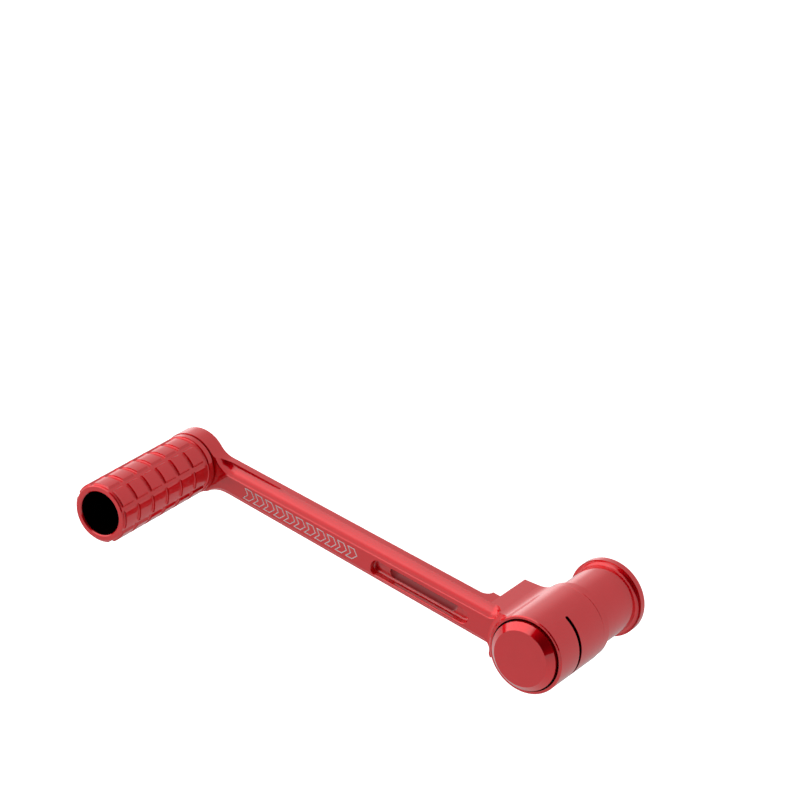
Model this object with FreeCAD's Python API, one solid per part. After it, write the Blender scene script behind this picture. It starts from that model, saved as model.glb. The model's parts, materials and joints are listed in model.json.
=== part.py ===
"""Motorcycle gear shift lever, modelled piece by piece in millimetres.

Frame: the origin is the centre of the splined clamp bore, on the shift shaft's axis.
+X runs along the arm from the hub to the toe peg, +Y points outboard along the shaft,
away from the machine, and +Z is up. Most stations along Y are given as a depth behind
the front plane of the hub, so a negative depth stands proud of the hub.
"""
import FreeCAD, Part
import math
import os

V = FreeCAD.Vector

# ---- driving dimensions ---------------------------------------------------------------
FRONT_Y = 19.4            # front plane of the hub, seen from the origin

# hub and clamp
HUB_R = 16.65
HUB_END = 32.8            # depth of the hub's rear face
HUB_CHAMFER = 0.4
JOINT_CHAMFER = 0.3       # on both sides of the joint between the hub and the rear sleeve
CAP_SEAT_R = 15.4         # counterbore that the cap sits in
CAP_SEAT_DEPTH = 2.6
CAP_BORE_R = 13.3
SPLINE_R = 7.94           # shift shaft, 5/8 inch
SPLINE_TEETH = 36
SPLINE_GROOVE = 0.45      # radial depth of one serration
SPLINE_FRONT = 11.0
SPLINE_REAR = 27.8
SPIGOT_SEAT_R = 11.6
SLIT_FRONT = 13.55
SLIT_WIDTH = 1.8
SLIT_START_DEG = 114.0    # the crosswise slit runs from here, over the far side, to 360
JAW_GAP = 1.6             # lengthwise slit between the two jaws

# shoulder where the arm meets the hub
SHOULDER_R = 19.5
SHOULDER_FILLET = 2.55
SHOULDER_LOW_DEG = -36.0
SHOULDER_HIGH_DEG = 25.0

# arm
PEG_X = 169.0             # hub axis to peg axis
ARM_FRONT = 2.95
ARM_BACK = 11.15
FACE_EDGE = 0.3           # chamfer between the outboard face and the flutes
ARM_HALF = 9.12           # half height of the back of the arm at X = 0 ...
ARM_TAPER = 0.0113        # ... and what it loses per millimetre along X
FACE_HALF = 5.35          # half height of the flat outboard face at X = 0
FACE_TAPER = 0.0116
ARM_EDGE = 0.5            # chamfer round the back of the arm
FLUTE_R = 4.5             # ball-nosed flute along both outboard corners
FLUTE_START = 21.5
FLUTE_END = 149.0
FLUTE_EXIT_R = 6.5        # radius of the cutter's path where the flute runs out
BOSS_R = 12.9
BOSS_BLEND = 10.0
PAD_END = 27.5            # the arm is thicker from the hub to here
PAD_BACK = 14.5

# window in the arm
WINDOW_Z = -0.5           # the window lies a little below the arm's centre line
POCKET_X = (29.4, 77.1)
POCKET_HALF = 3.175
POCKET_FLOOR = 6.0
POCKET_FILLET = 0.9
POCKET_RIM = 0.25
WINDOW_X = (36.5, 69.4)
WINDOW_HALF = 2.3

# clamp lug and pinch bolt
LUG_X = 23.5
LUG_TOP = 9.0
LUG_SLOPE = 0.12
LUG_BLEND = 10.0
LUG_BOTTOM = -13.5
LUG_FOOT_BLEND = 4.0
LUG_CORNER = 3.0
PINCH_X = 16.6
PINCH_DEPTH = 24.0
PINCH_R = 2.95
PINCH_HOLE_R = 3.3
PINCH_HEAD_R = 5.0
PINCH_HEAD_H = 6.0
PINCH_SEAT_Z = -5.0
PINCH_POCKET_R = 5.3
PINCH_TIP_Z = 6.6
PINCH_HOLE_TOP = 7.4
PINCH_KEY = 5.0           # across the flats of the hexagon socket
PINCH_KEY_DEPTH = 3.0
INSERT_R = 3.9
INSERT_TOP = 7.2
WASHER_T = 0.8

# hub cap
CAP_FACE_R = 12.0
CAP_R = 14.65
CAP_PROUD = 3.83
CAP_SPIGOT_R = 12.9
CAP_SPIGOT_END = 9.6
CAP_HOLLOW_R = 9.0
CAP_GROOVE_R = 11.7
CAP_GROOVES = ((3.7, 5.7), (6.9, 8.9))

# rear sleeve
SLEEVE_SHOULDER_R = 16.35
SLEEVE_SHOULDER_END = 37.5
SLEEVE_WAIST_R = 14.5
SLEEVE_COVE = 1.7
FLANGE_R = 16.6
FLANGE_FRONT = 61.9
FLANGE_REAR = 65.2
SPIGOT_R = 11.5
SPIGOT_FRONT = 28.1
SPIGOT_GROOVE_R = 10.4
SPIGOT_GROOVE = (29.6, 31.4)
SLEEVE_BORE_R = 8.7
BUSH_SEAT_R = 9.6
BUSH_FRONT = 48.0
BUSH_REAR = 59.8
BUSH_BORE_R = 8.0
SEAL_SEAT_R = 12.0
SEAL_STEP = 60.0
SEAL_FRONT = 60.2
SEAL_LIP_GAP = 0.1
SEAL_WALL = 1.4
SLEEVE_EDGE = 0.5
BUSH_EDGE = 0.4

# toe peg
PEG_BASE_R = 11.8
PEG_RIB_R = 12.62
PEG_BORE_R = 9.28
PEG_TIP = -57.7
PEG_ROOT = 2.55
PEG_WEB = -14.0           # depth of the floor of the open bore
RIB_ROWS = 8
RIB_PHASE_DEG = 10.0
RIB_COUNT = 6
RIB_PITCH = 9.33
RIB_LENGTH = 6.65
RIB_FIRST = -3.0          # inboard edge of the first rib
RIM_FRONT = -0.3
RIB_LEAN = 0.04           # how far the steep walls at both ends of a rib lean out
RIB_COVE = 0.6            # radius of the round foot of those walls
RIB_SINK = 0.02
GROOVE_FLOOR = 1.25       # width of the long grooves between the rows
GROOVE_TOP = 3.05
PEG_EDGE = 0.4
PEG_BUSH_R = 7.0
PEG_BUSH_BORE_R = 5.05
PEG_BUSH_INNER_END = -4.0
PEG_BUSH_OUTER_START = -8.0
PEG_RECESS_R = 10.5
PEG_RECESS = 0.95
INNER_FLANGE_R = 10.0
INNER_FLANGE_T = 1.0
OUTER_FLANGE_R = 8.4
OUTER_FLANGE_T = 1.2

# what holds the peg on, from its outer bush to the bolt's head
END_PLAY = 0.1
PEG_WASHER_R = 8.2
PEG_WASHER_T = 0.5
SPRING_R = 7.8
SPRING_T = 0.35
SPRING_RISE = 0.3
THRUST_WASHER_R = 10.2
SHOULDER_BOLT_R = 5.0
WASHER_PLAY = 0.1         # radial play of the washers on the shoulder
PEG_HEAD_R = 8.0
PEG_HEAD_H = 5.6
PEG_HEAD_EDGE = 0.6
PEG_KEY = 6.0
PEG_KEY_DEPTH = 3.5
PEG_THREAD_R = 3.95
PEG_INSERT_R = 4.5
PEG_INSERT_BORE_R = 4.0
PEG_INSERT_END_GAP = 0.3  # the insert lies this far inside both faces of the boss


# ---- helpers --------------------------------------------------------------------------
def y_at(depth):
    """Y of a station that lies a given depth behind the hub's front plane."""
    return FRONT_Y - depth


def closed_face(corners, place):
    """Face inside an outline. A corner is (a, b), or (mid_a, mid_b, a, b) at an arc's end."""
    edges = []
    last = corners[0][-2:]
    for corner in list(corners[1:]) + [corners[0][-2:]]:
        end = corner[-2:]
        if len(corner) == 4:
            edges.append(Part.Arc(place(*last), place(*corner[:2]), place(*end)).toShape())
        elif math.dist(last, end) > 1e-7:
            edges.append(Part.LineSegment(place(*last), place(*end)).toShape())
        last = end
    return Part.Face(Part.Wire(edges))


def turned(corners, x=0.0):
    """Solid of revolution about the Y direction at x, from (radius, depth) corners."""
    face = closed_face(corners, lambda r, depth: V(x + r, y_at(depth), 0))
    return face.revolve(V(x, 0, 0), V(0, 1, 0), 360)


def plate(corners, front, back):
    """Plate with an (X, Z) outline between two depths."""
    face = closed_face(corners, lambda x, z: V(x, y_at(front), z))
    return face.extrude(V(0, front - back, 0))


def tube(outer, inner, front, back, x=0.0):
    """Plain tube or, with inner = 0, a plain disc."""
    return turned([(inner, front), (outer, front), (outer, back), (inner, back)], x)


def upright(radius, low, high, x, depth):
    """Cylinder that stands along Z."""
    return Part.makeCylinder(radius, high - low, V(x, y_at(depth), low), V(0, 0, 1))


def sector(low_deg, high_deg, radius, front, back):
    """Pie-shaped plate about the hub's axis, between two angles from +X towards +Z."""
    steps = max(1, math.ceil((high_deg - low_deg) / 45.0))
    rim = [low_deg + (high_deg - low_deg) * i / steps for i in range(steps + 1)]
    points = [(radius * math.cos(math.radians(a)), radius * math.sin(math.radians(a))) for a in rim]
    return plate([(0.0, 0.0)] + points, front, back)


def slot_plate(ends, half, z, front, back):
    """Plate with two straight sides and two round ends, centred on height z."""
    left, right = ends[0] + half, ends[1] - half
    outline = [(left, z + half), (right, z + half), (ends[1], z, right, z - half), (left, z - half),
               (ends[0], z, left, z + half)]
    return plate(outline, front, back)


def edges_at(shape, depth):
    """Edges of a shape that lie wholly in the plane at a depth."""
    y = y_at(depth)
    return [edge for edge in shape.Edges if abs(edge.BoundBox.YMin - y) + abs(edge.BoundBox.YMax - y) < 1e-3]


def blend(point, direction, centre, radius, blend_radius, side):
    """Concave fillet between a line and a circle, as (on the line, middle, on the circle).

    The line runs through point, pointing at the circle, and the fillet lies on its left
    (side = 1) or on its right (side = -1).
    """
    along = V(direction[0], direction[1], 0).normalize()
    across = V(-along.y, along.x, 0) * side
    hub = V(centre[0], centre[1], 0)
    start = V(point[0], point[1], 0) + across * blend_radius
    offset = hub - start
    reach = offset.dot(along)
    gap = math.sqrt((radius + blend_radius) ** 2 - (offset - along * reach).Length ** 2)
    middle = start + along * (reach - gap)
    on_line = middle - across * blend_radius
    on_circle = hub + (middle - hub) * (radius / (radius + blend_radius))
    bisector = ((on_line - middle) + (on_circle - middle)).normalize()
    on_arc = middle + bisector * blend_radius
    return (on_line.x, on_line.y), (on_arc.x, on_arc.y), (on_circle.x, on_circle.y)


def hexagon(across_flats):
    """Corners of a regular hexagon about the origin."""
    reach = across_flats / math.sqrt(3)
    turns = [math.radians(60 * i) for i in range(6)]
    return [(reach * math.cos(turn), reach * math.sin(turn)) for turn in turns]


def fuse(first, *others):
    return first.fuse(list(others)).removeSplitter()


def cut(first, *others):
    return first.cut(list(others))


# ---- lever body -----------------------------------------------------------------------
def arm_half(x):
    return ARM_HALF - ARM_TAPER * x


def face_half(x):
    return FACE_HALF - FACE_TAPER * x


def lug_top_curve():
    """Corner of the lug, and its concave rise into the hub."""
    corner = (LUG_X, LUG_TOP)
    on_line, middle, on_hub = blend(corner, (-1, LUG_SLOPE), (0, 0), HUB_R, LUG_BLEND, -1)
    return [corner, on_line, middle + on_hub]


def arm_plan(front, back):
    """Outline of the arm with its peg boss, the hub shoulder and the top of the lug."""
    line, middle, boss = blend((0, ARM_HALF), (1, -ARM_TAPER), (PEG_X, 0), BOSS_R, BOSS_BLEND, 1)
    outline = [(0.0, ARM_HALF), line, middle + boss, (PEG_X + BOSS_R, 0.0, boss[0], -boss[1]),
               (middle[0], -middle[1], line[0], -line[1]), (0.0, -ARM_HALF)]
    shoulder = tube(SHOULDER_R, 0, front, back)
    shoulder = shoulder.common(sector(SHOULDER_LOW_DEG, SHOULDER_HIGH_DEG, 2 * SHOULDER_R, front, back))
    lug_top = plate([(0.0, 0.0), (LUG_X, 0.0)] + lug_top_curve(), front, back)
    return fuse(plate(outline, front, back), shoulder, lug_top)


def arm():
    """Arm between its outboard face and its back, thicker behind the hub end."""
    step = PAD_BACK - ARM_BACK
    round_in = step * (1 - math.sqrt(0.5))
    far = PEG_X + 2 * BOSS_R
    side = closed_face(
        [(-HUB_R, ARM_FRONT), (far, ARM_FRONT), (far, ARM_BACK), (PAD_END + step, ARM_BACK),
         (PAD_END + round_in, ARM_BACK + round_in, PAD_END, PAD_BACK), (-HUB_R, PAD_BACK)],
        lambda x, depth: V(x, y_at(depth), -2 * HUB_R))
    side = side.extrude(V(0, 0, 4 * HUB_R))
    shape = arm_plan(ARM_FRONT, PAD_BACK).common(side)
    free = [edge for edge in edges_at(shape, ARM_BACK) if edge.BoundBox.XMax > PAD_END + step + 1]
    return shape.makeChamfer(ARM_EDGE, free)


def flute(side):
    """Cutter sweep of one outboard corner: ball start, straight run, turned exit."""
    start = V(FLUTE_START, y_at(ARM_FRONT), side * (face_half(FLUTE_START) + FLUTE_R))
    end = V(FLUTE_END, y_at(ARM_FRONT), side * (face_half(FLUTE_END) + FLUTE_R))
    along = end - start
    outward = V(-along.z, 0, along.x).normalize() * side
    section = Part.Face(Part.Wire(Part.makeCircle(FLUTE_R, start, along)))
    run = section.extrude(along)
    section.translate(along)
    turn = section.revolve(end + outward * FLUTE_EXIT_R, V(0, -side, 0), 90)
    return fuse(run, Part.makeSphere(FLUTE_R, start), turn)


def arm_window():
    """Pocket with a chamfered rim and a filleted floor, and the slot through it."""
    pocket = slot_plate(POCKET_X, POCKET_HALF, WINDOW_Z, ARM_FRONT - 1, POCKET_FLOOR)
    pocket = pocket.makeFillet(POCKET_FILLET, edges_at(pocket, POCKET_FLOOR))
    wide = 3 * POCKET_RIM
    rim_end = ARM_FRONT + 2 * POCKET_RIM
    rim_x = (POCKET_X[0] - wide, POCKET_X[1] + wide)
    rim = slot_plate(rim_x, POCKET_HALF + wide, WINDOW_Z, ARM_FRONT - 1, rim_end)
    rim = rim.makeChamfer(4 * POCKET_RIM, edges_at(rim, rim_end))
    window = slot_plate(WINDOW_X, WINDOW_HALF, WINDOW_Z, POCKET_FLOOR - 1, ARM_BACK + 1)
    return [pocket, rim, window]


def hub():
    """Turned hub, and the fillet that joins its front ring to the arm's face."""
    barrel = turned([(0, 0), (HUB_R - HUB_CHAMFER, 0), (HUB_R, HUB_CHAMFER), (HUB_R, HUB_END - JOINT_CHAMFER),
                     (HUB_R - JOINT_CHAMFER, HUB_END), (0, HUB_END)])
    r = SHOULDER_FILLET
    corner = HUB_R + r
    round_in = r * math.sqrt(0.5)
    web = turned([(HUB_R - 1, HUB_CHAMFER), (HUB_R, HUB_CHAMFER),
                  (corner - round_in, ARM_FRONT - r + round_in, corner, ARM_FRONT), (HUB_R - 1, ARM_FRONT)])
    return fuse(barrel, web.common(arm_plan(0, ARM_FRONT)))


def clamp_lug():
    """Lug behind the arm that carries both jaws and the pinch bolt."""
    line, middle, foot = blend((LUG_X, LUG_BOTTOM), (-1, 0), (0, 0), HUB_R, LUG_FOOT_BLEND, 1)
    round_in = LUG_CORNER * (1 - math.sqrt(0.5))
    outline = [(0.0, 0.0), foot, middle + line, (LUG_X - LUG_CORNER, LUG_BOTTOM),
               (LUG_X - round_in, LUG_BOTTOM + round_in, LUG_X, LUG_BOTTOM + LUG_CORNER)]
    return plate(outline + lug_top_curve(), PAD_BACK, HUB_END)


def serrations():
    """Serrated bore for the shift shaft."""
    pitch = 2 * math.pi / SPLINE_TEETH
    land = 0.5 * pitch
    outline = []
    for tooth in range(SPLINE_TEETH):
        start = tooth * pitch
        polar = [(SPLINE_R, start + land / 2), (SPLINE_R, start + land),
                 (SPLINE_R + SPLINE_GROOVE, start + (land + pitch) / 2), (SPLINE_R, start + pitch)]
        mid, end, valley, rise = [(r * math.cos(a), r * math.sin(a)) for r, a in polar]
        outline += [mid + end, valley, rise]
    outline = [outline[-1]] + outline[:-1]
    return plate(outline, SPLINE_FRONT - 1, SPLINE_REAR + 1)


def slits():
    """Crosswise slit with a round end, and the lengthwise slit between the jaws."""
    middle = SLIT_FRONT + SLIT_WIDTH / 2
    reach = 3 * HUB_R
    cross = sector(SLIT_START_DEG, 360.0, reach, SLIT_FRONT, SLIT_FRONT + SLIT_WIDTH)
    angle = math.radians(SLIT_START_DEG)
    end = Part.makeCylinder(SLIT_WIDTH / 2, reach, V(0, y_at(middle), 0),
                            V(math.cos(angle), 0, math.sin(angle)))
    length = HUB_END + 1 - SLIT_FRONT
    jaws = Part.makeBox(reach, length, JAW_GAP, V(SPLINE_R / 2, y_at(HUB_END + 1), -JAW_GAP / 2))
    return [cross, end, jaws]


def face_edges(shape):
    """The two long straight edges between the arm's outboard face and its flutes."""
    long = [edge for edge in edges_at(shape, ARM_FRONT) if edge.BoundBox.XLength > PEG_X / 2]
    return [edge for edge in long if abs(edge.BoundBox.Center.z) < FACE_HALF]


def lever_body():
    body = cut(fuse(hub(), arm(), clamp_lug()), flute(1), flute(-1))
    body = body.makeChamfer(FACE_EDGE, face_edges(body))
    body = cut(body, *arm_window())
    bores = [tube(CAP_SEAT_R, 0, -1, CAP_SEAT_DEPTH), tube(CAP_BORE_R, 0, -1, SPLINE_FRONT),
             tube(SPIGOT_SEAT_R, 0, SPLINE_REAR, HUB_END + 1), serrations()]
    pinch = [upright(PINCH_POCKET_R, 2 * LUG_BOTTOM, PINCH_SEAT_Z, PINCH_X, PINCH_DEPTH),
             upright(PINCH_HOLE_R, 2 * LUG_BOTTOM, 0, PINCH_X, PINCH_DEPTH),
             upright(INSERT_R, 0, PINCH_HOLE_TOP, PINCH_X, PINCH_DEPTH)]
    peg_hole = tube(PEG_INSERT_R, 0, ARM_FRONT - 1, ARM_BACK + 1, PEG_X)
    return cut(body, *bores, *slits(), *pinch, peg_hole)


# ---- hub pieces -----------------------------------------------------------------------
def hub_cap():
    bevel = CAP_R - CAP_FACE_R
    outline = [(0, -CAP_PROUD), (CAP_FACE_R, -CAP_PROUD), (CAP_R, bevel - CAP_PROUD),
               (CAP_R, CAP_SEAT_DEPTH), (CAP_SPIGOT_R, CAP_SEAT_DEPTH)]
    for front, back in CAP_GROOVES:
        outline += [(CAP_SPIGOT_R, front), (CAP_GROOVE_R, front), (CAP_GROOVE_R, back), (CAP_SPIGOT_R, back)]
    outline += [(CAP_SPIGOT_R, CAP_SPIGOT_END), (CAP_HOLLOW_R, CAP_SPIGOT_END), (CAP_HOLLOW_R, 0), (0, 0)]
    return turned(outline)


def o_ring(inner, outer, depth, x=0.0):
    """O-ring that just fills the space between two radii."""
    return Part.makeTorus((inner + outer) / 2, (outer - inner) / 2, V(x, y_at(depth), 0), V(0, 1, 0))


def cap_gap_o_ring():
    return o_ring(CAP_R + 0.01, CAP_SEAT_R - 0.01, CAP_SEAT_DEPTH - 0.6)


def cap_grip_o_rings():
    inner, outer = CAP_GROOVE_R + 0.01, CAP_BORE_R - 0.01
    return Part.makeCompound([o_ring(inner, outer, sum(groove) / 2) for groove in CAP_GROOVES])


def sleeve_o_ring():
    return o_ring(SPIGOT_GROOVE_R + 0.01, SPIGOT_SEAT_R - 0.01, sum(SPIGOT_GROOVE) / 2)


def rear_sleeve():
    """Turned sleeve behind the hub: spigot, shoulder, waist and rear flange."""
    edge = SLEEVE_EDGE
    cove_r = SLEEVE_WAIST_R + SLEEVE_COVE
    cove_mid = SLEEVE_COVE * (1 - math.sqrt(0.5))
    groove_front, groove_back = SPIGOT_GROOVE
    outline = [(SLEEVE_BORE_R, SPIGOT_FRONT), (SPIGOT_R, SPIGOT_FRONT), (SPIGOT_R, groove_front),
               (SPIGOT_GROOVE_R, groove_front), (SPIGOT_GROOVE_R, groove_back), (SPIGOT_R, groove_back),
               (SPIGOT_R, HUB_END),
               (SLEEVE_SHOULDER_R - JOINT_CHAMFER, HUB_END), (SLEEVE_SHOULDER_R, HUB_END + JOINT_CHAMFER),
               (SLEEVE_SHOULDER_R, SLEEVE_SHOULDER_END - edge),
               (SLEEVE_SHOULDER_R - edge, SLEEVE_SHOULDER_END), (SLEEVE_WAIST_R, SLEEVE_SHOULDER_END),
               (SLEEVE_WAIST_R, FLANGE_FRONT - SLEEVE_COVE),
               (SLEEVE_WAIST_R + cove_mid, FLANGE_FRONT - cove_mid, cove_r, FLANGE_FRONT),
               (FLANGE_R, FLANGE_FRONT), (FLANGE_R, FLANGE_REAR - edge), (FLANGE_R - edge, FLANGE_REAR),
               (SEAL_SEAT_R, FLANGE_REAR), (SEAL_SEAT_R, SEAL_STEP), (BUSH_SEAT_R, SEAL_STEP),
               (BUSH_SEAT_R, BUSH_FRONT), (SLEEVE_BORE_R, BUSH_FRONT)]
    return turned(outline)


def shaft_bushing():
    return turned([(BUSH_BORE_R, BUSH_FRONT), (BUSH_SEAT_R - BUSH_EDGE, BUSH_FRONT),
                   (BUSH_SEAT_R, BUSH_FRONT + BUSH_EDGE), (BUSH_SEAT_R, BUSH_REAR), (BUSH_BORE_R, BUSH_REAR)])


def shaft_seal():
    """Dust seal with a case, a web and a lip that stands just clear of the shaft."""
    lip = BUSH_BORE_R + SEAL_LIP_GAP
    inside = SEAL_SEAT_R - SEAL_WALL
    back = FLANGE_REAR - 0.5
    web = back - 1.5
    return turned([(SEAL_SEAT_R, SEAL_FRONT), (SEAL_SEAT_R, back), (lip + 0.4, back), (lip, back - 0.6),
                   (lip, back - 1.2), (lip + 1.2, web), (inside, web), (inside, SEAL_FRONT)])


def pinch_bolt():
    """Socket head cap screw, head down, with a chamfered tip and a hexagon socket."""
    under_head = PINCH_SEAT_Z - WASHER_T
    head_low = under_head - PINCH_HEAD_H
    tip_edge = 0.6
    shank = upright(PINCH_R, under_head, PINCH_TIP_Z, PINCH_X, PINCH_DEPTH)
    top = [edge for edge in shank.Edges if edge.BoundBox.ZMin > PINCH_TIP_Z - 1e-3]
    shank = shank.makeChamfer(tip_edge, top)
    head = upright(PINCH_HEAD_R, head_low, under_head, PINCH_X, PINCH_DEPTH)
    rim = [edge for edge in head.Edges if edge.BoundBox.ZMax < head_low + 1e-3]
    head = head.makeChamfer(0.4, rim)
    corners = [V(PINCH_X + a, y_at(PINCH_DEPTH) + b, head_low - 1) for a, b in hexagon(PINCH_KEY)]
    socket = Part.Face(Part.makePolygon(corners + corners[:1]))
    return cut(fuse(head, shank), socket.extrude(V(0, 0, PINCH_KEY_DEPTH + 1)))


def pinch_washer():
    disc = upright(PINCH_HEAD_R, PINCH_SEAT_Z - WASHER_T, PINCH_SEAT_Z, PINCH_X, PINCH_DEPTH)
    hole = upright(PINCH_R + 0.15, PINCH_SEAT_Z - 2 * WASHER_T, PINCH_SEAT_Z + WASHER_T, PINCH_X, PINCH_DEPTH)
    return cut(disc, hole)


def pinch_thread_insert():
    low = JAW_GAP / 2
    sleeve = upright(INSERT_R, low, INSERT_TOP, PINCH_X, PINCH_DEPTH)
    return cut(sleeve, upright(PINCH_R + 0.05, 0, INSERT_TOP + 1, PINCH_X, PINCH_DEPTH))


# ---- peg pieces -----------------------------------------------------------------------
def rib_flank(edge, side, sink):
    """Steep wall of a rib and its round foot: top, end of the wall, middle and end of the foot.

    The foot ends below the base surface by the sink.
    """
    foot = PEG_BASE_R + RIB_COVE - sink
    wall_end = edge + side * RIB_LEAN
    round_in = RIB_COVE * math.sqrt(0.5)
    middle = (foot - round_in, wall_end + side * (RIB_COVE - round_in))
    return (PEG_RIB_R, edge), (foot, wall_end), middle, (foot - RIB_COVE, wall_end + side * RIB_COVE)


def rib_ring(near):
    """Full ring whose inboard edge is at a depth, before the long grooves split it into ribs."""
    inner = PEG_BASE_R - 0.5
    top, wall_end, middle, foot = rib_flank(near, 1, RIB_SINK)
    section = [(inner, foot[1]), foot, middle + wall_end, top]
    top, wall_end, middle, foot = rib_flank(near - RIB_LENGTH, -1, RIB_SINK)
    section += [top, wall_end, middle + foot, (inner, foot[1])]
    return turned(section, PEG_X)


def peg_sleeve():
    """Ribbed toe peg: a tube with a web, rows of ribs, a root rim and an open bore."""
    slope = (GROOVE_TOP - GROOVE_FLOOR) / 2 / (PEG_RIB_R - PEG_BASE_R)
    ribs = [rib_ring(RIB_FIRST - index * RIB_PITCH) for index in range(RIB_COUNT)]
    cuts = []
    low, high = PEG_BASE_R - 1.0, PEG_RIB_R + 1.0
    half_low = GROOVE_FLOOR / 2 - slope
    half_high = GROOVE_TOP / 2 + slope
    groove = plate([(PEG_X + low, half_low), (PEG_X + high, half_high), (PEG_X + high, -half_high),
                    (PEG_X + low, -half_low)], PEG_TIP - 1, RIM_FRONT - 0.5)
    for row in range(RIB_ROWS):
        turn = groove.copy()
        turn.rotate(V(PEG_X, 0, 0), V(0, -1, 0), RIB_PHASE_DEG + row * 360.0 / RIB_ROWS)
        cuts.append(turn)
    ribs = cut(Part.makeCompound(ribs), *cuts)
    rim, wall_end, middle, foot = rib_flank(RIM_FRONT, -1, 0)
    edge = PEG_EDGE
    # The floor is turned in bands that meet under the ribs, so that no face has too many openings.
    floor_joins = [(PEG_BASE_R, RIB_FIRST - index * RIB_PITCH - RIB_LENGTH / 2)
                   for index in reversed(range(RIB_COUNT))]
    core = turned([(PEG_BUSH_R, PEG_WEB), (PEG_BORE_R, PEG_WEB), (PEG_BORE_R, PEG_TIP + edge),
                   (PEG_BORE_R + edge, PEG_TIP), (PEG_BASE_R - edge, PEG_TIP), (PEG_BASE_R, PEG_TIP + edge),
                   *floor_joins, foot, middle + wall_end, rim, (PEG_RIB_R, PEG_ROOT - edge),
                   (PEG_RIB_R - edge, PEG_ROOT), (PEG_RECESS_R, PEG_ROOT), (PEG_RECESS_R, PEG_RECESS),
                   (PEG_BUSH_R, PEG_RECESS)], PEG_X)
    return core.fuse(ribs.Solids)


def peg_inner_bush():
    """Flanged bush pressed in from the arm's side."""
    flange = PEG_RECESS + INNER_FLANGE_T
    return turned([(PEG_BUSH_BORE_R, flange), (INNER_FLANGE_R, flange), (INNER_FLANGE_R, PEG_RECESS),
                   (PEG_BUSH_R, PEG_RECESS), (PEG_BUSH_R, PEG_BUSH_INNER_END),
                   (PEG_BUSH_BORE_R, PEG_BUSH_INNER_END)], PEG_X)


def peg_outer_bush():
    """Flanged bush pressed in from the open bore."""
    flange = PEG_WEB - OUTER_FLANGE_T
    return turned([(PEG_BUSH_BORE_R, PEG_BUSH_OUTER_START), (PEG_BUSH_R, PEG_BUSH_OUTER_START),
                   (PEG_BUSH_R, PEG_WEB), (OUTER_FLANGE_R, PEG_WEB), (OUTER_FLANGE_R, flange),
                   (PEG_BUSH_BORE_R, flange)], PEG_X)


def peg_o_ring():
    middle = (PEG_BUSH_INNER_END + PEG_BUSH_OUTER_START) / 2
    return o_ring(PEG_BUSH_BORE_R, PEG_BUSH_R - 0.01, middle, PEG_X)


def peg_thrust_washer():
    front = PEG_RECESS + INNER_FLANGE_T + END_PLAY
    return tube(THRUST_WASHER_R, SHOULDER_BOLT_R + WASHER_PLAY, front, ARM_FRONT, PEG_X)


def washer_seat():
    """Depth of the flat washer's inboard face, just clear of the outer bush."""
    return PEG_WEB - OUTER_FLANGE_T - END_PLAY


def spring_seat():
    return washer_seat() - PEG_WASHER_T


def under_peg_head():
    return spring_seat() - SPRING_T - SPRING_RISE


def peg_flat_washer():
    """Hard washer that keeps the spring washer off the turning bush."""
    return tube(PEG_WASHER_R, SHOULDER_BOLT_R + WASHER_PLAY, spring_seat(), washer_seat(), PEG_X)


def peg_spring_washer():
    """Conical spring washer under the head of the peg bolt."""
    bore = SHOULDER_BOLT_R + WASHER_PLAY
    top, foot = under_peg_head(), spring_seat()
    return turned([(bore, top), (bore, top + SPRING_T), (SPRING_R, foot), (SPRING_R, foot - SPRING_T)], PEG_X)


def peg_bolt():
    """Shoulder bolt that the peg turns on, screwed into the arm's boss."""
    head_low = under_peg_head()
    head_top = head_low - PEG_HEAD_H
    tip = ARM_BACK - 0.2
    tip_edge = 0.5
    edge = PEG_HEAD_EDGE
    body = turned([(0, head_top), (PEG_HEAD_R - edge, head_top), (PEG_HEAD_R, head_top + edge),
                   (PEG_HEAD_R, head_low), (SHOULDER_BOLT_R, head_low), (SHOULDER_BOLT_R, ARM_FRONT),
                   (PEG_THREAD_R, ARM_FRONT), (PEG_THREAD_R, tip - tip_edge), (PEG_THREAD_R - tip_edge, tip),
                   (0, tip)], PEG_X)
    corners = [(PEG_X + a, b) for a, b in hexagon(PEG_KEY)]
    return cut(body, plate(corners, head_top - 1, head_top + PEG_KEY_DEPTH))


def peg_thread_insert():
    """Steel thread insert in the arm's boss, for the peg bolt."""
    return tube(PEG_INSERT_R, PEG_INSERT_BORE_R, ARM_FRONT + PEG_INSERT_END_GAP,
                ARM_BACK - PEG_INSERT_END_GAP, PEG_X)


PIECES = [lever_body, hub_cap, cap_gap_o_ring, cap_grip_o_rings, rear_sleeve, sleeve_o_ring, shaft_bushing,
          shaft_seal, pinch_bolt, pinch_washer, pinch_thread_insert, peg_sleeve, peg_inner_bush,
          peg_outer_bush, peg_o_ring, peg_thrust_washer, peg_flat_washer, peg_spring_washer, peg_bolt,
          peg_thread_insert]

os.makedirs("parts", exist_ok=True)
for piece in PIECES:
    shape = piece()
    state = f"solids {len(shape.Solids)}  valid {shape.isValid()}"
    print(f"{piece.__name__:22s} {state}  {shape.Volume:10.1f} mm3")
    shape.exportStep(f"parts/{piece.__name__}.step")
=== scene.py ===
"""Looks of a red anodised gear shift lever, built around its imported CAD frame.

Metres throughout. +X runs from the hub to the toe peg, +Y points outboard and +Z is up.
"""

import json
import math

import bpy
from mathutils import Matrix, Vector


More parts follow.
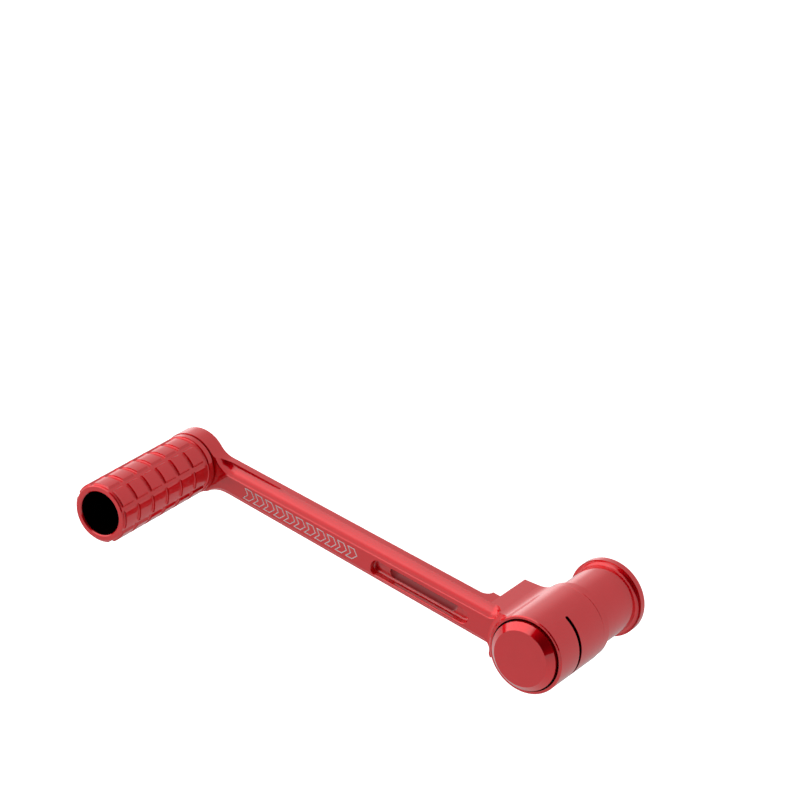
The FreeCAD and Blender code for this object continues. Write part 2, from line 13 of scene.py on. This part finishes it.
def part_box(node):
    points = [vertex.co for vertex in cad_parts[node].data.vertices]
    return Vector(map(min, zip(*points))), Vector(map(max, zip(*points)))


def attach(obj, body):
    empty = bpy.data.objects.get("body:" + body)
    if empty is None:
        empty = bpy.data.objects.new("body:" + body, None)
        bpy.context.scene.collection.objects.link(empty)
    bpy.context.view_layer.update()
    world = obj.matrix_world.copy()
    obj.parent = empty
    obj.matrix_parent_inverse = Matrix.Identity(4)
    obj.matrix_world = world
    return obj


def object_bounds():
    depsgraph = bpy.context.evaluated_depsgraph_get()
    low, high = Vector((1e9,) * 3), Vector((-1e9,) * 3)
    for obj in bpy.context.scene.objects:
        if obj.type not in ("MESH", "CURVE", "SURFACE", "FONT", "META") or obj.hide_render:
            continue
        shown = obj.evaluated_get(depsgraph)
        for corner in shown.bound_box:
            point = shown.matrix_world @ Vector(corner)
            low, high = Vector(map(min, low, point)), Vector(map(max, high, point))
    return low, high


MM = 0.001

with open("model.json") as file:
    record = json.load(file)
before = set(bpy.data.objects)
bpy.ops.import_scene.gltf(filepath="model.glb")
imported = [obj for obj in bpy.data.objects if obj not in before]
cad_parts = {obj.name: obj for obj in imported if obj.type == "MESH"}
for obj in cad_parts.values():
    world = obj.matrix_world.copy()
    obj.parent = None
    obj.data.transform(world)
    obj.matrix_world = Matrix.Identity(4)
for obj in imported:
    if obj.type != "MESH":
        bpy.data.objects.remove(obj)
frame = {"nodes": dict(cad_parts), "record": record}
cad_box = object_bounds()
nodes = frame["nodes"]


# ---- places read from the frame ---------------------------------------------------------
def middle(node):
    low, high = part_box(node)
    return (low + high) / 2


def axis_of(node):
    """(X, Z) of the line along Y that a turned node is centred on."""
    centre = middle(node)
    return centre.x, centre.z


HUB_AXIS = axis_of("hub_cap")
PEG_AXIS = axis_of("peg_sleeve")
PEG_TIP_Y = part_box("peg_sleeve")[1].y
ARM_FACE_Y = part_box("peg_thrust_washer")[0].y
HUB_RADIUS = -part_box("lever_body")[0].x

# Places of cuts that no box in the frame gives, as the CAD has them.
SLIT_Y = 4.95 * MM                     # middle of the slit across the clamp
SLIT_HALF = 0.9 * MM
PEG_BORE_RADIUS = 9.28 * MM
WINDOW_X = (36.5 * MM, 69.4 * MM)      # the through slot in the arm's window
WINDOW_Z = (-2.85 * MM, 1.85 * MM)
WINDOW_FLOOR_Y = 13.2 * MM
POCKET_X = (29.2 * MM, 77.3 * MM)      # the shallow pocket round that slot
POCKET_Z = (-3.9 * MM, 2.9 * MM)


# ---- node graph helper ------------------------------------------------------------------
class Graph:
    """Shader nodes of one material, added and linked by short calls."""

    def __init__(self, name):
        self.material = bpy.data.materials.new(name)
        self.material.use_nodes = True
        self.tree = self.material.node_tree
        self.tree.nodes.clear()

    def add(self, kind, inputs=None, **settings):
        node = self.tree.nodes.new(kind)
        for key, value in settings.items():
            setattr(node, key, value)
        for key, value in (inputs or {}).items():
            self.feed(node.inputs[key], value)
        return node

    def feed(self, socket, value):
        if isinstance(value, bpy.types.NodeSocket):
            self.tree.links.new(value, socket)
        else:
            socket.default_value = value

    def maths(self, operation, a, b=0.0):
        return self.add("ShaderNodeMath", {0: a, 1: b}, operation=operation).outputs[0]

    def place(self):
        """Position in the part's frame, which turns with the piece."""
        coordinates = self.add("ShaderNodeTexCoord").outputs["Object"]
        return self.add("ShaderNodeSeparateXYZ", {0: coordinates}).outputs

    def vector(self, x, y, z):
        return self.add("ShaderNodeCombineXYZ", {0: x, 1: y, 2: z}).outputs[0]

    def noise(self, vector, scale, detail=3.0, roughness=0.55):
        values = {"Vector": vector, "Scale": scale, "Detail": detail, "Roughness": roughness}
        return self.add("ShaderNodeTexNoise", values).outputs[0]

    def remap(self, value, low, high, to_low, to_high):
        values = {0: value, 1: low, 2: high, 3: to_low, 4: to_high}
        return self.add("ShaderNodeMapRange", values, clamp=True).outputs[0]

    def mix(self, factor, first, second):
        node = self.add("ShaderNodeMix", data_type="RGBA")
        colours = [socket for socket in node.inputs if socket.type == "RGBA"]
        self.feed(node.inputs[0], factor)
        self.feed(colours[0], first)
        self.feed(colours[1], second)
        return [socket for socket in node.outputs if socket.type == "RGBA"][0]

    def distance_from_axis(self, axis):
        """Radius about a line along Y."""
        position = self.place()
        dx = self.maths("SUBTRACT", position[0], axis[0])
        dz = self.maths("SUBTRACT", position[2], axis[1])
        square = self.maths("ADD", self.maths("MULTIPLY", dx, dx), self.maths("MULTIPLY", dz, dz))
        return self.maths("SQRT", square)

    def finish(self, colour, metallic, roughness, normal=None, **inputs):
        """Principled surface. Plain numbers are set straight on the shader's own sockets."""
        shader = self.add("ShaderNodeBsdfPrincipled")
        self.feed(shader.inputs["Base Color"], colour)
        self.feed(shader.inputs["Metallic"], metallic)
        self.feed(shader.inputs["Roughness"], roughness)
        for key, value in inputs.items():
            self.feed(shader.inputs[key.replace("_", " ")], value)
        if normal is not None:
            self.feed(shader.inputs["Normal"], normal)
            self.feed(shader.inputs["Coat Normal"], normal)
        self.add("ShaderNodeOutputMaterial", {"Surface": shader.outputs[0]})
        return self.material


# ---- materials --------------------------------------------------------------------------
RED = (0.93, 0.004, 0.014, 1.0)
RED_DEEP = (0.89, 0.003, 0.011, 1.0)
# Painted shade: deep red laid on the walls of the slot through the arm, where shade falls.
WINDOW_SHADE_RED = (0.42, 0.001, 0.005, 1.0)
# Painted shade: black laid inside the clamp's slit and the peg's open bore, where shade falls.
GAP_SHADE_BLACK = (0.002, 0.0004, 0.0004, 1.0)
SATIN = 0.47              # roughness of the anodised pieces
CAP_SATIN = 0.42
MATT_EXTRA = 0.12         # added to the roughness in the pocket ...
MATT_METAL = 0.45         # ... where the metallic share falls to this
COAT = {"Coat_IOR": 1.8, "Coat_Roughness": 0.05}


def machining_lines(graph, axis):
    """Fine cutter marks: rings about an axis, or lines along the arm when axis is None."""
    if axis is None:
        position = graph.place()
        along = graph.vector(graph.maths("MULTIPLY", position[0], 0.01), position[1], position[2])
    else:
        along = graph.vector(graph.distance_from_axis(axis), graph.place()[1], 0.0)
    return graph.noise(along, 2600.0, detail=2.0)


def anodised(name, axis=None, roughness=SATIN):
    """Satin red anodising over machined aluminium: its graph, colour, roughness and bump."""
    graph = Graph(name)
    coordinates = graph.add("ShaderNodeTexCoord").outputs["Object"]
    clouds = graph.noise(coordinates, 60.0)
    grain = graph.noise(coordinates, 5200.0, detail=1.0)
    lines = machining_lines(graph, axis)
    colour = graph.mix(graph.remap(clouds, 0.35, 0.65, 0.0, 1.0), RED, RED_DEEP)
    rough = graph.maths("ADD", graph.remap(grain, 0.3, 0.7, -0.03, 0.03), roughness)
    rough = graph.maths("ADD", rough, graph.remap(lines, 0.3, 0.7, -0.03, 0.03))
    height = graph.maths("ADD", lines, graph.maths("MULTIPLY", grain, 0.4))
    relief = {"Height": height, "Strength": 0.05, "Distance": 0.02 * MM}
    bump = graph.add("ShaderNodeBump", relief).outputs[0]
    return graph, colour, rough, bump


def saw_cut(graph):
    """1 inside the narrow slit across the clamp, where black is painted as shade, else 0."""
    off = graph.maths("ABSOLUTE", graph.maths("SUBTRACT", graph.place()[1], SLIT_Y))
    within = graph.remap(off, SLIT_HALF, SLIT_HALF + 0.03 * MM, 1.0, 0.0)
    radius = graph.distance_from_axis(HUB_AXIS)
    below = graph.remap(radius, HUB_RADIUS - 0.35 * MM, HUB_RADIUS - 0.15 * MM, 1.0, 0.0)
    return graph.maths("MULTIPLY", within, below)


def between(graph, value, low, high):
    """1 from low to high, 0 outside, with a narrow soft step at each end."""
    above = graph.remap(value, low - 0.05 * MM, low, 0.0, 1.0)
    return graph.maths("MULTIPLY", above, graph.remap(value, high, high + 0.05 * MM, 1.0, 0.0))


def window_walls(graph):
    """1 on the walls of the slot right through the arm, where shade is painted, else 0."""
    x, y, z = graph.place()
    inside = graph.maths("MULTIPLY", between(graph, x, *WINDOW_X), between(graph, z, *WINDOW_Z))
    behind = graph.remap(y, WINDOW_FLOOR_Y - 0.1 * MM, WINDOW_FLOOR_Y, 1.0, 0.0)
    return graph.maths("MULTIPLY", inside, behind)


def pocket_walls(graph):
    """1 in the shallow pocket round the slot, below the arm's face, else 0."""
    x, y, z = graph.place()
    inside = graph.maths("MULTIPLY", between(graph, x, *POCKET_X), between(graph, z, *POCKET_Z))
    return graph.maths("MULTIPLY", inside, between(graph, y, WINDOW_FLOOR_Y, ARM_FACE_Y - 0.35 * MM))


def with_painted_shade(graph, mask, colour, metal, rough, bump, gloss=1.0):
    """The anodised finish, with painted shade: dull black where the mask is 1."""
    colour = graph.mix(mask, colour, GAP_SHADE_BLACK)
    rough = graph.maths("ADD", rough, graph.maths("MULTIPLY", mask, 0.3))
    kept = graph.remap(mask, 0.0, 1.0, 1.0, 0.0)
    metal = graph.maths("MULTIPLY", kept, metal)
    coat = graph.maths("MULTIPLY", kept, gloss)
    specular = graph.remap(mask, 0.0, 1.0, 0.5, 0.0)
    return graph.finish(colour, metal, rough, bump, Coat_Weight=coat, Specular_IOR_Level=specular, **COAT)


def anodised_body():
    """Dull in the arm's pocket, with painted shade: deep red and less coat deeper in on the slot's walls,
    black in the clamp's slit.
    """
    graph, colour, rough, bump = anodised("red_anodised")
    # Painted shade: the slot's walls turn deep red and lose coat the deeper they lie.
    slot_shade_mask = window_walls(graph)
    colour = graph.mix(slot_shade_mask, colour, WINDOW_SHADE_RED)
    coat_shade_by_depth = graph.remap(graph.place()[1], 9.5 * MM, 12.5 * MM, 0.35, 0.95)
    gloss = graph.maths("SUBTRACT", 1.0, graph.maths("MULTIPLY", slot_shade_mask, coat_shade_by_depth))
    pocket = pocket_walls(graph)
    metal = graph.remap(pocket, 0.0, 1.0, 1.0, MATT_METAL)
    rough = graph.maths("ADD", rough, graph.maths("MULTIPLY", pocket, MATT_EXTRA))
    return with_painted_shade(graph, saw_cut(graph), colour, metal, rough, bump, gloss)


def anodised_turned(name, roughness=SATIN):
    """The same finish all over a piece that was turned about the hub's axis."""
    graph, colour, rough, bump = anodised(name, HUB_AXIS, roughness)
    return graph.finish(colour, 1.0, rough, bump, Coat_Weight=1.0, **COAT)


def anodised_peg():
    """As the other red pieces, with painted shade: black inside the open bore."""
    graph, colour, rough, bump = anodised("red_anodised_peg", PEG_AXIS)
    radius = graph.distance_from_axis(PEG_AXIS)
    # Painted shade: the bore's wall below the tip is turned black.
    bore = graph.remap(radius, PEG_BORE_RADIUS + 0.02 * MM, PEG_BORE_RADIUS + 0.17 * MM, 1.0, 0.0)
    inside = graph.remap(graph.place()[1], PEG_TIP_Y - 1.0 * MM, PEG_TIP_Y - 0.6 * MM, 1.0, 0.0)
    return with_painted_shade(graph, graph.maths("MULTIPLY", bore, inside), colour, 1.0, rough, bump)


def rubber():
    graph = Graph("black_rubber")
    coordinates = graph.add("ShaderNodeTexCoord").outputs["Object"]
    grain = graph.noise(coordinates, 2200.0)
    colour = graph.mix(grain, (0.006, 0.006, 0.006, 1.0), (0.016, 0.016, 0.017, 1.0))
    bump = graph.add("ShaderNodeBump", {"Height": grain, "Strength": 0.2, "Distance": 0.03 * MM}).outputs[0]
    return graph.finish(colour, 0.0, graph.remap(grain, 0.3, 0.7, 0.55, 0.75), bump)


def turned_metal(name, dark, light, roughness, axis):
    """Plain turned metal with rings from the tool."""
    graph = Graph(name)
    lines = machining_lines(graph, axis)
    colour = graph.mix(lines, dark, light)
    rough = graph.remap(lines, 0.3, 0.7, roughness - 0.06, roughness + 0.06)
    bump = graph.add("ShaderNodeBump", {"Height": lines, "Strength": 0.25, "Distance": 0.01 * MM}).outputs[0]
    return graph.finish(colour, 1.0, rough, bump)


def bronze():
    """Sintered bronze with open pores."""
    graph = Graph("bronze")
    coordinates = graph.add("ShaderNodeTexCoord").outputs["Object"]
    pores = graph.noise(coordinates, 3800.0, detail=4.0)
    open_share = graph.remap(pores, 0.4, 0.6, 0.0, 1.0)
    colour = graph.mix(open_share, (0.20, 0.11, 0.04, 1.0), (0.60, 0.38, 0.16, 1.0))
    bump = graph.add("ShaderNodeBump", {"Height": pores, "Strength": 0.4, "Distance": 0.02 * MM}).outputs[0]
    return graph.finish(colour, 1.0, graph.remap(pores, 0.3, 0.7, 0.5, 0.32), bump)


def nylon():
    graph = Graph("white_nylon")
    coordinates = graph.add("ShaderNodeTexCoord").outputs["Object"]
    clouds = graph.noise(coordinates, 500.0)
    colour = graph.mix(clouds, (0.70, 0.69, 0.63, 1.0), (0.80, 0.79, 0.74, 1.0))
    return graph.finish(colour, 0.0, graph.remap(clouds, 0.3, 0.7, 0.35, 0.5), Subsurface_Weight=0.1)


def etched():
    """Bare aluminium where the anodising is cut away by a fine engraving tool."""
    graph = Graph("etched_line")
    coordinates = graph.add("ShaderNodeTexCoord").outputs["Object"]
    grain = graph.noise(coordinates, 9000.0)
    colour = graph.mix(grain, (0.92, 0.84, 0.84, 1.0), (1.0, 0.96, 0.96, 1.0))
    return graph.finish(colour, 0.0, graph.remap(grain, 0.3, 0.7, 0.45, 0.65))


def paint_nodes():
    """Gives every carried-over node its procedural finish, by the record's material slots."""
    steel = (0.42, 0.42, 0.44, 1.0), (0.62, 0.62, 0.64, 1.0)
    spring = (0.20, 0.20, 0.21, 1.0), (0.33, 0.33, 0.35, 1.0)
    oxide = (0.02, 0.02, 0.022, 1.0), (0.05, 0.05, 0.055, 1.0)
    finishes = {
        "red_anodised": anodised_body(),
        "red_anodised_cap": anodised_turned("red_anodised_cap", CAP_SATIN),
        "red_anodised_turned": anodised_turned("red_anodised_turned"),
        "red_anodised_peg": anodised_peg(),
        "black_rubber": rubber(),
        "stainless_steel": turned_metal("stainless_steel", *steel, 0.3, HUB_AXIS),
        "spring_steel": turned_metal("spring_steel", *spring, 0.35, PEG_AXIS),
        "black_oxide_steel": turned_metal("black_oxide_steel", *oxide, 0.35, PEG_AXIS),
        "bronze": bronze(),
        "white_nylon": nylon(),
    }
    for subpart in frame["record"]["subparts"]:
        material_slot = nodes[subpart["node"]].material_slots[0]
        material_slot.link = "OBJECT"
        material_slot.material = finishes[subpart["material_slot"]]


# ---- etched motif on the arm's face -------------------------------------------------------
def ribbon_loop(corners, width):
    """Corners of the outer and inner edge of a closed line of a given width, mitred."""
    count = len(corners)
    outer, inner = [], []
    for index in range(count):
        before, here, after = corners[index - 1], corners[index], corners[(index + 1) % count]
        into, out = (here - before).normalized(), (after - here).normalized()
        across = Vector((-into.y - out.y, into.x + out.x)).normalized()
        reach = width / 2 / max(0.3, across.dot(Vector((-into.y, into.x))))
        outer.append(here - across * reach)
        inner.append(here + across * reach)
    return outer, inner


def chevron(tip, width, point, height):
    """Corners of a chevron that points towards the hub, from its outer tip's X."""
    return [Vector((tip, height / 2)), Vector((tip + point, height)), Vector((tip + point + width, height)),
            Vector((tip + width, height / 2)), Vector((tip + point + width, 0.0)), Vector((tip + point, 0.0))]


def etched_chevrons():
    """Row of outlined chevrons on the arm's face, cut as thin closed lines."""
    start, end, count = 84.0 * MM, 141.0 * MM, 11
    height, point, width, line = 4.6 * MM, 1.9 * MM, 3.1 * MM, 0.34 * MM
    lift, thickness = 0.004 * MM, 0.02 * MM      # just clear of the face
    vertices, faces = [], []
    for index in range(count):
        tip = start + (end - start - width - point) * index / (count - 1)
        outer, inner = ribbon_loop(chevron(tip, width, point, height), line)
        first, sides = len(vertices), len(outer)
        for ring, depth in ((outer, thickness), (inner, thickness), (inner, 0.0), (outer, 0.0)):
            vertices += [(p.x, ARM_FACE_Y + lift + depth, p.y - height / 2) for p in ring]
        for level in range(4):
            near, far = first + level * sides, first + ((level + 1) % 4) * sides
            for side in range(sides):
                after = (side + 1) % sides
                faces.append((near + side, near + after, far + after, far + side))
    mesh = bpy.data.meshes.new("arm_etching")
    mesh.from_pydata(vertices, [], faces)
    mesh.update()
    piece = bpy.data.objects.new("arm_etching", mesh)
    bpy.context.scene.collection.objects.link(piece)
    mesh.materials.append(etched())
    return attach(piece, "lever")


# ---- floor, light and camera --------------------------------------------------------------
def floor():
    """Wide pale floor just under the lever."""
    size, below = 4.0, 60.0 * MM
    height = cad_box[0].z - below
    corners = [(-size, -size, height), (size, -size, height), (size, size, height), (-size, size, height)]
    mesh = bpy.data.meshes.new("floor")
    mesh.from_pydata(corners, [], [(0, 1, 2, 3)])
    piece = bpy.data.objects.new("floor", mesh)
    bpy.context.scene.collection.objects.link(piece)
    graph = Graph("pale_floor")
    position = graph.add("ShaderNodeTexCoord").outputs["Object"]
    clouds = graph.noise(position, 6.0)
    colour = graph.mix(clouds, (0.86, 0.86, 0.86, 1.0), (0.9, 0.9, 0.9, 1.0))
    material = graph.finish(colour, 0.0, 0.6, Emission_Color=(1.0, 1.0, 1.0, 1.0), Emission_Strength=0.8)
    mesh.materials.append(material)
    piece.visible_glossy = False
    piece.visible_diffuse = False


def softbox(name, target, toward, distance, size, power):
    """Flat lamp that faces a target from a direction."""
    lamp = bpy.data.lights.new(name, "AREA")
    lamp.shape = "RECTANGLE"
    lamp.size, lamp.size_y = size
    lamp.energy = power
    holder = bpy.data.objects.new(name, lamp)
    bpy.context.scene.collection.objects.link(holder)
    direction = Vector(toward).normalized()
    holder.location = target + direction * distance
    holder.rotation_mode = "QUATERNION"
    holder.rotation_quaternion = (-direction).to_track_quat("-Z", "Y")


ROOM_BASE = 0.57
ROOM_PANELS = (
    # change of brightness, softness of the edges, and the edges: a direction and the least cosine to it
    (-0.06, 0.25, (((0.0, -1.0, 0.0), 0.40),)),                             # grey back wall
    (0.22, 0.14, (((0.78, -0.62, -0.05), 0.80),)),                          # its brightest part
    (0.55, 0.14, (((0.423, 0.0, 0.906), 0.0), ((0.105, 0.0, -0.995), 0.0),
                  ((0.0, -1.0, 0.0), 0.5))),                                # long lamp along the hub
    (0.06, 0.12, (((0.0, 0.0, 1.0), 0.78), ((0.26, 0.97, 0.0), -0.20))),    # roof
    (0.76, 0.06, (((0.956, -0.292, 0.0), 0.05), ((-0.075, 0.506, 0.859), 0.03),
                  ((0.174, 0.985, 0.0), 0.06), ((0.0, 0.0, -1.0), -0.88))),  # big lamp outboard of the peg
    (-1.80, 0.02, (((-0.966, 0.259, 0.0), 0.02), ((0.469, 0.883, 0.0), -0.06),
                   ((0.607, 0.512, 0.609), 0.0), ((0.0, 0.0, -1.0), -0.87))),  # dark gap beside the camera
)


def inside_panel(tree, direction, softness, edges):
    """1 for the directions inside every edge of a panel, 0 outside."""
    inside = None
    for toward, least in edges:
        facing = tree.nodes.new("ShaderNodeVectorMath")
        facing.operation = "DOT_PRODUCT"
        facing.inputs[1].default_value = Vector(toward).normalized()
        tree.links.new(direction, facing.inputs[0])
        step = tree.nodes.new("ShaderNodeMapRange")
        step.interpolation_type = "SMOOTHSTEP"
        for index, value in enumerate((least - softness, least + softness, 0.0, 1.0), start=1):
            step.inputs[index].default_value = value
        tree.links.new(facing.outputs["Value"], step.inputs[0])
        inside = step.outputs[0] if inside is None else world_maths(tree, "MULTIPLY", inside, step.outputs[0])
    return inside


def world_maths(tree, operation, a, b):
    node = tree.nodes.new("ShaderNodeMath")
    node.operation = operation
    for socket, value in zip(node.inputs, (a, b)):
        if isinstance(value, bpy.types.NodeSocket):
            tree.links.new(value, socket)
        else:
            socket.default_value = value
    return node.outputs[0]


def room():
    """World light of a white tent: bright panels, and a dark gap beside the camera."""
    world = bpy.data.worlds.new("room")
    bpy.context.scene.world = world
    world.use_nodes = True
    tree = world.node_tree
    direction = tree.nodes.new("ShaderNodeTexCoord").outputs["Generated"]
    total = ROOM_BASE
    for change, softness, edges in ROOM_PANELS:
        inside = inside_panel(tree, direction, softness, edges)
        total = world_maths(tree, "ADD", world_maths(tree, "MULTIPLY", inside, change), total)
    total = world_maths(tree, "MAXIMUM", total, 0.0)
    background = tree.nodes["Background"]
    background.inputs["Color"].default_value = (1.0, 1.0, 1.0, 1.0)
    tree.links.new(total, background.inputs["Strength"])


def studio():
    """The room and one weak lamp above the lever."""
    room()
    softbox("top_light", (cad_box[0] + cad_box[1]) / 2, (0.55, -0.35, 0.76), 1.3, (0.8, 0.8), 0.2)


def camera():
    """Long lens from outboard, above and beyond the hub, with the lever's own tilt."""
    target = Vector((90.3 * MM, 0.0, 64.8 * MM))
    azimuth, elevation, roll = math.radians(117.33), math.radians(29.90), math.radians(13.75)
    distance = 1.4896
    back = Vector((math.cos(azimuth) * math.cos(elevation), math.sin(azimuth) * math.cos(elevation),
                   math.sin(elevation)))
    data = bpy.data.cameras.new("camera")
    data.lens = 169.11
    data.sensor_width = 36.0
    data.clip_start = 0.05
    holder = bpy.data.objects.new("camera", data)
    bpy.context.scene.collection.objects.link(holder)
    upright = back.to_track_quat("Z", "Y").to_matrix()
    turn = upright @ Matrix.Rotation(roll, 3, "Z")
    holder.matrix_world = Matrix.Translation(target + back * distance) @ turn.to_4x4()
    bpy.context.scene.camera = holder


paint_nodes()
etched_chevrons()
floor()
studio()
camera()
bpy.context.scene.view_settings.view_transform = "Standard"
